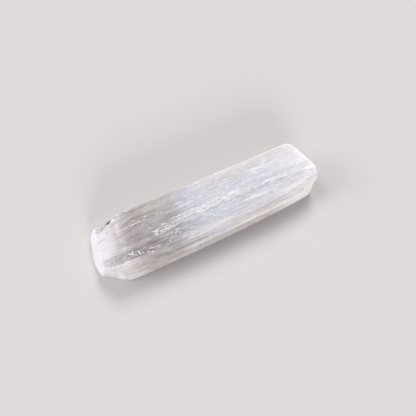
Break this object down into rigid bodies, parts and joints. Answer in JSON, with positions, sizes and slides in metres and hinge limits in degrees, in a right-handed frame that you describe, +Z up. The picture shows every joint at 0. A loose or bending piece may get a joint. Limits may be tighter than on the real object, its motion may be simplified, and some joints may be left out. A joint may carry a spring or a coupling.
{
  "type": "selenite stick",
  "caption": "Raw selenite stick: a translucent, silky bar of fibrous gypsum crystal with a flat cleavage face to lie on, ground bevelled ends and a chipped corner.",
  "frame": {"origin": "centre of the base: the middle of the bounding box on the flat face the stick lies on", "axes": "+X along the fibres, from the wedge-shaped frosted end to the skew-cut end; +Z up; +Y towards the side with the chipped corner"},
  "size_m": [0.1002, 0.0256, 0.0125],
  "materials": {
    "selenite": "satin"
  },
  "bodies": {
    "root": {"selenite_stick": "selenite"}
  },
  "joints": []
}
